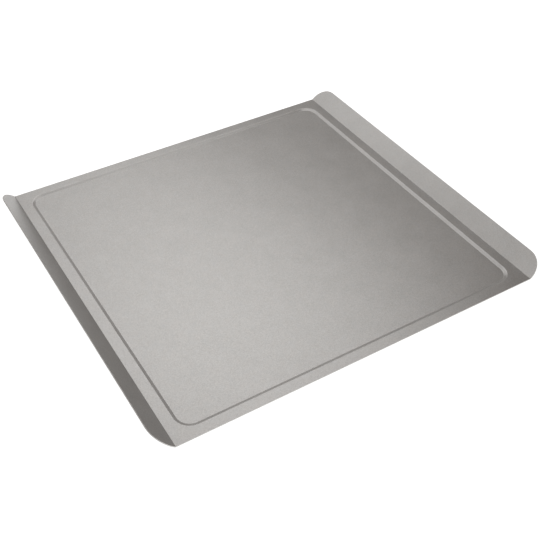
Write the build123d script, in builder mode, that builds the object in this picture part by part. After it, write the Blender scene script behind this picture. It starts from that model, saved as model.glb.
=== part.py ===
from build123d import *
from math import cos, radians, sin, tan
import os

# A cookie sheet: one pressed steel blank with two flared flanges, coated on both faces.
# X runs from flange to flange, Y from the open front edge to the open back edge, and Z up. The origin is on
# the surface that the sheet stands on, under the middle of the panel. Lengths are in millimetres and angles
# in degrees.

# The blank
panel_width = 375  # between the two folds, on the baking side
panel_depth = 377  # between the open edges
steel_thickness = 1
coating_thickness = 0.05  # of the baked film on each face

# The flanges
flange_width = 21  # up the slope, from the fold to the outer edge
flange_angle = 41.5  # above the horizontal
fold_radius = 1  # inside the fold
corner_land = 0.3  # flat left between the fold and the rounded end of the flange

# The pressed step that lowers the baking area inside the rim
rim_width = 12  # from a fold or an open edge to the middle of the step
recess_depth = 1.4
recess_corner_radius = 14.5  # at the middle of the step
step_angle = 25  # of the step's slope
step_radius = 1.5  # inside each of the step's two bends

# Levels of the layers' faces, measured square to the sheet from its underside
underside = 0
steel_underside = underside + coating_thickness
steel_top = steel_underside + steel_thickness
baking_surface = steel_top + coating_thickness
sheet_thickness = baking_surface - underside

# The flange's end is one round from its outer edge down to the land above the fold
fold_reach = (fold_radius + sheet_thickness) * tan(radians(flange_angle / 2))
flange_corner_radius = flange_width - fold_reach - corner_land

# The step is two bends with a straight slope between them, the same at every level of the sheet
bend_radii = 2 * step_radius + sheet_thickness
bend_heights = bend_radii * (1 - cos(radians(step_angle)))
slope_length = (recess_depth - bend_heights) / sin(radians(step_angle))
step_width = bend_radii * sin(radians(step_angle)) + slope_length * cos(radians(step_angle))
step_reach = step_width / 2


def trough_line(level):
    """Draws one face of the sheet across both flanges, before the step is pressed."""
    below_top = baking_surface - level
    slope_x = cos(radians(flange_angle))
    slope_z = sin(radians(flange_angle))
    fold_x = panel_width / 2 + below_top * tan(radians(flange_angle / 2))
    fold_z = recess_depth + level
    edge_x = panel_width / 2 + flange_width * slope_x + below_top * slope_z
    edge_z = recess_depth + baking_surface + flange_width * slope_z - below_top * slope_x
    return FilletPolyline(
        (-edge_x, edge_z),
        (-fold_x, fold_z),
        (fold_x, fold_z),
        (edge_x, edge_z),
        radius=fold_radius + below_top,
    )


def step_line(level):
    """Draws one face of the sheet across the step, from the baking area out to the rim."""
    foot_radius = step_radius + baking_surface - level
    head_radius = step_radius + level - underside
    foot = JernArc((-step_reach, level), (1, 0), foot_radius, step_angle)
    slope = PolarLine(foot @ 1, slope_length, step_angle)
    head = JernArc(slope @ 1, slope % 1, head_radius, -step_angle)
    return foot @ 0, head @ 1


def trough_section(low, high):
    """The profile across both flanges of the layer between two levels."""
    with BuildSketch(Plane.XZ) as section:
        with BuildLine():
            lower = trough_line(low)
            upper = trough_line(high)
            Line(lower @ 0, upper @ 0)
            Line(lower @ 1, upper @ 1)
        make_face()
    return section.sketch


def step_section(low, high, plane):
    """The profile across the step of the layer between two levels."""
    with BuildSketch(plane) as section:
        with BuildLine():
            lower_inner, lower_outer = step_line(low)
            upper_inner, upper_outer = step_line(high)
            Line(lower_inner, upper_inner)
            Line(lower_outer, upper_outer)
        make_face()
    return section.sketch


def recess_outline(growth, height):
    """The recess's rounded outline, grown outwards from the middle of the step."""
    with BuildSketch(Plane.XY.offset(height)) as outline:
        RectangleRounded(
            panel_width - 2 * rim_width + 2 * growth,
            panel_depth - 2 * rim_width + 2 * growth,
            radius=recess_corner_radius + growth,
        )
    return outline.sketch


def outer_corners(layer):
    """The short edges through a layer at the four outer corners of its flanges."""
    left_to_right = layer.faces().sort_by(Axis.X)
    flange_edges = left_to_right[0].edges() + left_to_right[-1].edges()
    return flange_edges.filter_by(Axis.Y, reverse=True)


def press_recess(low, high):
    """Lowers the baking area of the layer between two levels, inside a swept step."""
    extrude(recess_outline(step_reach, recess_depth + low), amount=high - low, mode=Mode.SUBTRACT)
    path = recess_outline(0, underside).wire()
    outwards = (path % 0).cross(Vector(0, 0, 1))
    across_path = Plane(path @ 0, x_dir=outwards, z_dir=-(path % 0))
    sweep(step_section(low, high, across_path), path=path)
    extrude(recess_outline(-step_reach, low), amount=high - low)


with BuildPart() as steel_sheet:
    extrude(trough_section(steel_underside, steel_top), amount=panel_depth / 2, both=True)
    fillet(outer_corners(steel_sheet), radius=flange_corner_radius)
    press_recess(steel_underside, steel_top)

with BuildPart() as baking_side_coating:
    extrude(trough_section(steel_top, baking_surface), amount=panel_depth / 2, both=True)
    fillet(outer_corners(baking_side_coating), radius=flange_corner_radius)
    press_recess(steel_top, baking_surface)

with BuildPart() as underside_coating:
    extrude(trough_section(underside, steel_underside), amount=panel_depth / 2, both=True)
    fillet(outer_corners(underside_coating), radius=flange_corner_radius)
    press_recess(underside, steel_underside)

os.makedirs("parts", exist_ok=True)
steel_sheet.part.label = "steel_sheet"
export_step(steel_sheet.part, "parts/steel_sheet.step")
baking_side_coating.part.label = "baking_side_coating"
export_step(baking_side_coating.part, "parts/baking_side_coating.step")
underside_coating.part.label = "underside_coating"
export_step(underside_coating.part, "parts/underside_coating.step")
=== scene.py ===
import bpy
import math
from mathutils import Matrix, Vector


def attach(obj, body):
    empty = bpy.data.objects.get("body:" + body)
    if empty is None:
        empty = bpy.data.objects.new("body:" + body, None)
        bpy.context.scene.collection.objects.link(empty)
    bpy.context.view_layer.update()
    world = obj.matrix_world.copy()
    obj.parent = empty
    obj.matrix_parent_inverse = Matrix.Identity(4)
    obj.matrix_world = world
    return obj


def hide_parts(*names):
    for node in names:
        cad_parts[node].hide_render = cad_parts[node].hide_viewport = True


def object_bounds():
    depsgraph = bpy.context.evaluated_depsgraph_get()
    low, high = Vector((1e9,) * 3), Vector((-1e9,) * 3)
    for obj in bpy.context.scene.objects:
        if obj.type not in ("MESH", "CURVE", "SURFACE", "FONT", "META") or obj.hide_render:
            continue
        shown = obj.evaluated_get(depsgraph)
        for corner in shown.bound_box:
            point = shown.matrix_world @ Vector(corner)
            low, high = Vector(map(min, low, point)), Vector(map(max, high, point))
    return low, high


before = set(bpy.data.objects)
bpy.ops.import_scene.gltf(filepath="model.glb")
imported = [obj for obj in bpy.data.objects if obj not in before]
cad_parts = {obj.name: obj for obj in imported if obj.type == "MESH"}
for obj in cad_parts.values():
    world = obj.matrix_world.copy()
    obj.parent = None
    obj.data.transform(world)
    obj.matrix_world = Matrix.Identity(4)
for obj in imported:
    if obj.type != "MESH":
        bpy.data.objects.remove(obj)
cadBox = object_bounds()
print("frame loaded", [round(size, 4) for size in cadBox[1] - cadBox[0]])

# A cookie sheet: one pressed steel blank with a baked coat on each face. Lengths are in metres.

sheet = {
    "thickness": 0.0011,  # with both coats
    "coatThickness": 0.00005,
    "flangeWidth": 0.021,  # up the slope, from the fold
    "flangeAngle": math.radians(41.5),
    "foldRadius": 0.001,  # inside the fold
    "cornerLand": 0.0003,  # flat left between the fold and the flange's rounded end
    "rimWidth": 0.012,  # from a fold or an open edge to the middle of the step
    "recessDepth": 0.0014,
    "recessCorner": 0.0145,  # at the middle of the step
    "stepAngle": math.radians(25),
    "stepRadius": 0.0015,  # inside each of the step's bends
}
facets = {
    "bend": 8,  # round each fold and each bend of the step
    "corner": 48,  # round each corner of the recess, and half as many round a flange's end
    "side": 18,  # along each straight side
    "flange": 6,  # up a flange
    "decimals": 7,  # points that agree to so many decimals are one point
    "smoothBelow": math.radians(40),  # faces that meet more flatly than this are shaded as one
}
halfDepth = cadBox[1].y
halfPanel = (
    cadBox[1].x
    - sheet["flangeWidth"] * math.cos(sheet["flangeAngle"])
    - sheet["thickness"] * math.sin(sheet["flangeAngle"])
)  # to the fold's corner point
rimHeight = sheet["recessDepth"] + sheet["thickness"]


class Skin:
    # the baking surface: points with their normals, and the faces between them
    def __init__(self):
        self.known = {}
        self.points = []
        self.normals = []
        self.faces = []

    def point(self, place, normal):
        key = tuple(rounded(value) for value in place)
        if key not in self.known:
            self.known[key] = len(self.points)
            self.points.append(Vector(place))
            self.normals.append(Vector(normal))
        return self.known[key]

    def face(self, corners):
        corners = list(dict.fromkeys(corners))
        if len(corners) < 3:
            return
        first, second, third = (self.points[corner] for corner in corners[:3])
        upright = (second - first).cross(third - second).dot(self.normals[corners[1]]) > 0
        self.faces.append(corners if upright else corners[::-1])

    def strip(self, near, far):
        for spot in range(len(near) - 1):
            self.face([near[spot], near[spot + 1], far[spot + 1], far[spot]])


def rounded(value):
    return round(value, facets["decimals"])


def evenly(start, end, count):
    return [start + (end - start) * step / count for step in range(count + 1)]


def quarterTurn(place, quarter):
    x, y = place
    return ((x, y), (-y, x), (-x, -y), (y, -x))[quarter]


def stepProfile():
    # distance out from the middle of the step, height and tilt, from the baking area to the rim
    footRadius = sheet["stepRadius"]
    headRadius = sheet["stepRadius"] + sheet["thickness"]
    angle = sheet["stepAngle"]
    bendHeights = (footRadius + headRadius) * (1 - math.cos(angle))
    slopeLength = (sheet["recessDepth"] - bendHeights) / math.sin(angle)
    reach = ((footRadius + headRadius) * math.sin(angle) + slopeLength * math.cos(angle)) / 2
    tilts = evenly(0, angle, facets["bend"])
    foot = [
        (-reach + footRadius * math.sin(tilt), sheet["thickness"] + footRadius * (1 - math.cos(tilt)), tilt)
        for tilt in tilts
    ]
    head = [
        (reach - headRadius * math.sin(tilt), rimHeight - headRadius * (1 - math.cos(tilt)), tilt)
        for tilt in reversed(tilts)
    ]
    return foot + head


def foldProfile():
    # distance from the middle of the sheet, height and tilt, from the rim to the flange
    radius = sheet["foldRadius"]
    start = halfPanel - radius * math.tan(sheet["flangeAngle"] / 2)
    return [
        (start + radius * math.sin(tilt), rimHeight + radius * (1 - math.cos(tilt)), tilt)
        for tilt in evenly(0, sheet["flangeAngle"], facets["bend"])
    ]


def recessSpokes(inset):
    # round the recess: where each spoke starts, which way it points, and where it meets the panel's border
    rim = sheet["rimWidth"] + sheet["recessCorner"]
    starts = [halfPanel - rim, halfDepth - rim]
    borders = [foldProfile()[0][0], halfDepth - inset]
    spokes = []
    for quarter in range(4):
        startAhead, startAside = starts if quarter % 2 == 0 else starts[::-1]
        borderAhead, borderAside = borders if quarter % 2 == 0 else borders[::-1]
        local = [
            ((startAhead, aside), (1, 0), (borderAhead, aside))
            for aside in evenly(-startAside, startAside, facets["side"])[1:-1]
        ]
        for share in evenly(0, 1, facets["corner"]):
            angle = share * math.pi / 2
            meets = (
                startAhead + (borderAhead - startAhead) * min(1, 2 - 2 * share),
                startAside + (borderAside - startAside) * min(1, 2 * share),
            )
            local.append(((startAhead, startAside), (math.cos(angle), math.sin(angle)), meets))
        spokes += [[quarterTurn(place, quarter) for place in spoke] for spoke in local]
    return spokes


def pressRecess(skin, spokes):
    # the flat baking area, a grid and a fan at each corner, then the step round it and the flat rim
    upwards = Vector((0, 0, 1))
    loop = [skin.point((*start, sheet["thickness"]), upwards) for start, _, _ in spokes]
    gridX = sorted({rounded(start[0]) for start, _, _ in spokes})
    gridY = sorted({rounded(start[1]) for start, _, _ in spokes})
    rows = [[skin.point((x, y, sheet["thickness"]), upwards) for x in gridX] for y in gridY]
    for lower, upper in zip(rows, rows[1:]):
        skin.strip(lower, upper)
    for outward, height, tilt in stepProfile():
        reach = sheet["recessCorner"] + outward
        nextLoop = []
        for start, way, _ in spokes:
            normal = (-math.sin(tilt) * way[0], -math.sin(tilt) * way[1], math.cos(tilt))
            place = (start[0] + way[0] * reach, start[1] + way[1] * reach, height)
            nextLoop.append(skin.point(place, normal))
        skin.strip(loop, nextLoop)
        loop = nextLoop
    skin.strip(loop, [skin.point((*meets, rimHeight), upwards) for _, _, meets in spokes])


def flangeTip(level, inset):
    # where a row across the flange meets its outline: distance up the slope, and place along the sheet
    foldReach = (sheet["foldRadius"] + sheet["thickness"]) * math.tan(sheet["flangeAngle"] / 2)
    radius = sheet["flangeWidth"] - foldReach - sheet["cornerLand"]
    cornerStart = halfDepth - sheet["rimWidth"] - sheet["recessCorner"]
    if abs(level) <= cornerStart:
        return sheet["flangeWidth"] - inset, level
    straight = halfDepth - radius - cornerStart
    arc = radius * math.pi / 2
    along = (abs(level) - cornerStart) / (halfDepth - inset - cornerStart) * (straight + arc)
    if along < straight:
        return sheet["flangeWidth"] - inset, math.copysign(cornerStart + along, level)
    angle = (along - straight) / radius
    slope = sheet["flangeWidth"] - radius + (radius - inset) * math.cos(angle)
    return slope, math.copysign(halfDepth - radius + (radius - inset) * math.sin(angle), level)


def flareFlange(skin, side, levels, inset):
    # the fold and the flange on one side, in rows that run along the sheet
    start, *bends = foldProfile()
    row = [skin.point((side * start[0], level, rimHeight), (0, 0, 1)) for level in levels]
    for across, height, tilt in bends:
        normal = (-side * math.sin(tilt), 0, math.cos(tilt))
        nextRow = [skin.point((side * across, level, height), normal) for level in levels]
        skin.strip(row, nextRow)
        row = nextRow
    feet = [skin.points[spot] for spot in row]
    tips = []
    for slope, level in (flangeTip(level, inset) for level in levels):
        across = halfPanel + slope * math.cos(sheet["flangeAngle"])
        height = rimHeight + slope * math.sin(sheet["flangeAngle"])
        tips.append(Vector((side * across, level, height)))
    for share in evenly(0, 1, facets["flange"])[1:]:
        nextRow = [skin.point(foot.lerp(tip, share), normal) for foot, tip in zip(feet, tips)]
        skin.strip(row, nextRow)
        row = nextRow


def bakingSurface(inset):
    # the whole upper face; the inset draws it back from the cut edges
    skin = Skin()
    spokes = recessSpokes(inset)
    spokes.append(spokes[0])  # closes the ring
    pressRecess(skin, spokes)
    border = rounded(foldProfile()[0][0])
    levels = sorted({rounded(meets[1]) for _, _, meets in spokes if rounded(meets[0]) == border})
    for side in (-1, 1):
        flareFlange(skin, side, levels, inset)
    return skin


def layerPiece(name, low, high, inset):
    # one layer of the sheet between two levels above its underside, closed at its edges
    skin = bakingSurface(inset)
    count = len(skin.points)
    vertices = [
        point - normal * (sheet["thickness"] - level)
        for level in (high, low)
        for point, normal in zip(skin.points, skin.normals)
    ]
    edges = {edge for face in skin.faces for edge in zip(face, face[1:] + face[:1])}
    cutFaces = [(b, a, a + count, b + count) for a, b in edges if (b, a) not in edges]
    lowerFaces = [[corner + count for corner in reversed(face)] for face in skin.faces]
    mesh = bpy.data.meshes.new(name)
    mesh.from_pydata(vertices, [], skin.faces + lowerFaces + sorted(cutFaces))
    mesh.validate()
    mesh.shade_smooth()
    mesh.set_sharp_from_angle(angle=facets["smoothBelow"])
    piece = bpy.data.objects.new(name, mesh)
    bpy.context.scene.collection.objects.link(piece)
    return piece


def keepFlatsFlat(piece):
    weighting = piece.modifiers.new("flats", "WEIGHTED_NORMAL")
    weighting.keep_sharp = True


class Wire:
    # an output socket, so that shader maths reads as plain sums
    def __init__(self, finish, socket):
        self.finish = finish
        self.socket = socket

    def combine(self, operation, first, second):
        return self.finish.node("ShaderNodeMath", {"operation": operation}, {0: first, 1: second})

    def __add__(self, other):
        return self.combine("ADD", self, other)

    __radd__ = __add__

    def __sub__(self, other):
        return self.combine("SUBTRACT", self, other)

    def __rsub__(self, other):
        return self.combine("SUBTRACT", other, self)

    def __mul__(self, other):
        return self.combine("MULTIPLY", self, other)

    __rmul__ = __mul__

    def __pow__(self, other):
        return self.combine("POWER", self, other)

    def __rpow__(self, other):
        return self.combine("POWER", other, self)


class Finish:
    # the node tree of a material, or of the world
    def __init__(self, owner):
        owner.use_nodes = True
        self.owner = owner
        self.tree = owner.node_tree
        self.tree.nodes.clear()

    def node(self, kind, settings, inputs, output=0):
        # settings come first, because they can change which sockets there are
        made = self.tree.nodes.new(kind)
        for name, value in settings.items():
            setattr(made, name, value)
        for name, value in inputs.items():
            if isinstance(value, Wire):
                self.tree.links.new(value.socket, made.inputs[name])
            else:
                made.inputs[name].default_value = value
        return Wire(self, made.outputs[output]) if made.outputs else None

    def noise(self, place, size, detail=2):
        inputs = {"Vector": place, "Scale": 1 / size, "Detail": detail}
        return self.node("ShaderNodeTexNoise", {}, inputs)

    def mix(self, factor, first, second):
        inputs = {0: factor, 6: first, 7: second}  # 6, 7 and the output 2 are the colours
        return self.node("ShaderNodeMix", {"data_type": "RGBA"}, inputs, 2)

    def surface(self, inputs):
        shader = self.node("ShaderNodeBsdfPrincipled", {}, inputs)
        self.node("ShaderNodeOutputMaterial", {}, {"Surface": shader})
        return self.owner


coat = {
    "trim": 0.0001,  # how far it stops short of the cut edges
    "warm": (0.483, 0.4705, 0.454, 1),
    "cool": (0.466, 0.4685, 0.466, 1),
    "tintPatch": 0.006,  # size of the patches of slightly different tint
    "metallic": 1.0,
    "roughness": 0.34,
    "roughnessChange": 0.04,  # from cloud to cloud
    "gritSize": 0.0007,
    "gritTone": 0.54,  # how far the grit lightens and darkens the film
    "gritHeight": 0.000003,
    "mottling": 0.012,  # size of the film's mottles
    "mottleTone": 0.06,
    "clouding": 0.03,  # size of its faint clouds
    "cloudTone": 0.15,
}


def around(noise, amount):
    # turns a noise from 0 to 1 into a change up and down
    return (noise - 0.5) * amount


def coatFinish(name):
    finish = Finish(bpy.data.materials.new(name))
    place = finish.node("ShaderNodeTexCoord", {}, {}, "Object")
    grit = finish.noise(place, coat["gritSize"], 1)
    mottle = finish.noise(place, coat["mottling"])
    cloud = finish.noise(place, coat["clouding"])
    tint = finish.mix(finish.noise(place, coat["tintPatch"]), coat["warm"], coat["cool"])
    blotches = around(mottle, coat["mottleTone"]) + around(cloud, coat["cloudTone"])
    shade = 1 + around(grit, coat["gritTone"]) + blotches
    tone = finish.node("ShaderNodeVectorMath", {"operation": "SCALE"}, {0: tint, "Scale": shade})
    heights = {"Height": grit, "Strength": 1, "Distance": coat["gritHeight"]}
    relief = finish.node("ShaderNodeBump", {}, heights)
    return finish.surface(
        {
            "Base Color": tone,
            "Metallic": coat["metallic"],
            "Roughness": coat["roughness"] + around(cloud, coat["roughnessChange"]),
            "Normal": relief,
        }
    )


steel = {
    "light": (0.7, 0.69, 0.675, 1),
    "dark": (0.5, 0.49, 0.48, 1),
    "metallic": 1.0,
    "roughness": 0.4,
    "roughnessChange": 0.2,  # from grain to grain
    "grainSize": 0.0004,
    "edgeRound": 0.00007,  # deburred after cutting
    "edgeFacets": 2,
    "cutEdge": math.radians(60),  # the least turn that counts as a cut edge
}


def steelFinish(name):
    finish = Finish(bpy.data.materials.new(name))
    place = finish.node("ShaderNodeTexCoord", {}, {}, "Object")
    grain = finish.noise(place, steel["grainSize"])
    tone = finish.mix(grain, steel["dark"], steel["light"])
    return finish.surface(
        {
            "Base Color": tone,
            "Metallic": steel["metallic"],
            "Roughness": steel["roughness"] + around(grain, steel["roughnessChange"]),
        }
    )


def deburr(piece):
    bevel = piece.modifiers.new("deburred", "BEVEL")
    bevel.width = steel["edgeRound"]
    bevel.segments = steel["edgeFacets"]
    bevel.limit_method = "ANGLE"
    bevel.angle_limit = steel["cutEdge"]


film = sheet["coatThickness"]
steelTop = sheet["thickness"] - film

blank = layerPiece("steelBlank", film, steelTop, 0)
deburr(blank)
bakingCoat = layerPiece("bakingCoat", steelTop, sheet["thickness"], coat["trim"])
undersideCoat = layerPiece("undersideCoat", 0, film, coat["trim"])

for piece, node, slot, material in (
    (blank, "steel_sheet", "bare_steel", steelFinish("bareSteel")),
    (bakingCoat, "baking_side_coating", "baking_side_coat", coatFinish("bakingSideCoat")),
    (undersideCoat, "underside_coating", "underside_coat", coatFinish("undersideCoat")),
):
    keepFlatsFlat(piece)
    piece.data.materials.append(material)
    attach(piece, "root")
    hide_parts(node)
print("sheet made")

paleFloor = {
    "reach": 8,  # from its middle to each side
    "albedo": (0.45, 0.45, 0.45, 1),
    "roughness": 0.9,
    "glow": 0.92,  # a lit floor, so the sheet throws hardly any shadow
}


def layFloor():
    reach = paleFloor["reach"]
    corners = [(-reach, -reach, 0), (reach, -reach, 0), (reach, reach, 0), (-reach, reach, 0)]
    mesh = bpy.data.meshes.new("floor")
    mesh.from_pydata(corners, [], [(0, 1, 2, 3)])
    floor = bpy.data.objects.new("floor", mesh)
    bpy.context.scene.collection.objects.link(floor)
    inputs = {
        "Base Color": paleFloor["albedo"],
        "Roughness": paleFloor["roughness"],
        "Emission Color": (1, 1, 1, 1),
        "Emission Strength": paleFloor["glow"],
    }
    mesh.materials.append(Finish(bpy.data.materials.new("paleFloor")).surface(inputs))


layFloor()

studio = {
    "backdrop": (1, 1, 1, 1),  # what the camera sees past the floor
    "ambient": (0.036, 0.015, 0.001, 1),  # a little warm light from all round
}
# soft round lamps: azimuth from +X towards +Y and elevation in degrees, narrowness, brightness
# the last four are for views from behind and from above
lamps = {
    "lowAhead": (71, 4, 33, 0.73),
    "lowRight": (20, 11, 33, 1.0),
    "right": (50, 20, 33, 0.55),
    "lowLeft": (130, 20, 33, 0.59),
    "left": (155, 36, 33, 1.83),
    "spotMiddle": (60, 44, 120, 0.64),
    "spotAhead": (72, 50, 120, 0.83),
    "spotRight": (36, 50, 120, 0.66),
    "overhead": (265, 70, 12, 0.5),
    "behindLeft": (210, 30, 12, 0.8),
    "behind": (260, 30, 12, 0.8),
    "behindRight": (300, 25, 12, 0.75),
}
softbox = {
    "place": Vector((0.14, 0.637, 0.654)),
    "aim": Vector((0.236, 0.509, 0)),  # the point on the floor that it faces
    "size": (0.814, 1.164),
    "roll": math.radians(-9.5),
    "radiance": 0.816,
}


def lampGlow(sky, towards, lamp):
    azimuth, elevation, narrowness, brightness = lamp
    flat = math.cos(math.radians(elevation))
    middle = (
        flat * math.cos(math.radians(azimuth)),
        flat * math.sin(math.radians(azimuth)),
        math.sin(math.radians(elevation)),
    )
    product = {"operation": "DOT_PRODUCT"}
    nearness = sky.node("ShaderNodeVectorMath", product, {0: towards, 1: middle}, "Value")
    return math.e ** ((nearness - 1) * narrowness) * brightness


def hangSoftbox():
    behind = (softbox["place"] - softbox["aim"]).normalized()
    level = Vector((0, 0, 1)).cross(behind).normalized()
    across = level * math.cos(softbox["roll"]) + behind.cross(level) * math.sin(softbox["roll"])
    light = bpy.data.lights.new("softbox", "AREA")
    light.shape = "RECTANGLE"
    light.size, light.size_y = softbox["size"]
    light.energy = math.pi * light.size * light.size_y * softbox["radiance"]
    box = bpy.data.objects.new("softbox", light)
    bpy.context.scene.collection.objects.link(box)
    box.matrix_world = Matrix((across, behind.cross(across), behind)).transposed().to_4x4()
    box.location = softbox["place"]
    box.visible_camera = False


def lightWalls():
    # lamps and ambient light for the sheet, and a plain white backdrop for the camera
    walls = bpy.data.worlds.new("studio")
    bpy.context.scene.world = walls
    sky = Finish(walls)
    towards = sky.node("ShaderNodeTexCoord", {}, {}, "Generated")
    strength = sum(lampGlow(sky, towards, lamp) for lamp in lamps.values())
    lampLight = sky.node("ShaderNodeBackground", {}, {"Color": (1, 1, 1, 1), "Strength": strength})
    ambient = sky.node("ShaderNodeBackground", {}, {"Color": studio["ambient"]})
    light = sky.node("ShaderNodeAddShader", {}, {0: lampLight, 1: ambient})
    backdrop = sky.node("ShaderNodeBackground", {}, {"Color": studio["backdrop"]})
    seen = sky.node("ShaderNodeLightPath", {}, {}, "Is Camera Ray")
    both = sky.node("ShaderNodeMixShader", {}, {0: seen, 1: light, 2: backdrop})
    sky.node("ShaderNodeOutputWorld", {}, {"Surface": both})


hangSoftbox()
lightWalls()
print("floor and lights made")

shot = {
    "lens": 58.69,  # in millimetres, like the sensor
    "sensor": 36,
    "azimuth": math.radians(-31.2001),
    "elevation": math.radians(42.1434),
    "distance": 0.84391,
    "target": Vector((-0.01723, -0.04998, 0.00232)),
    "near": 0.01,
    "far": 50,
}


def placeCamera():
    camera = bpy.data.objects.new("camera", bpy.data.cameras.new("camera"))
    bpy.context.scene.collection.objects.link(camera)
    bpy.context.scene.camera = camera
    camera.data.lens = shot["lens"]
    camera.data.sensor_width = shot["sensor"]
    camera.data.clip_start = shot["near"]
    camera.data.clip_end = shot["far"]
    flat = math.cos(shot["elevation"])
    back = Vector(
        (math.sin(shot["azimuth"]) * flat, -math.cos(shot["azimuth"]) * flat, math.sin(shot["elevation"]))
    )
    camera.location = shot["target"] + back * shot["distance"]
    camera.rotation_mode = "QUATERNION"
    camera.rotation_quaternion = back.to_track_quat("Z", "Y")


placeCamera()
bpy.context.scene.view_settings.view_transform = "Standard"
print("camera placed")
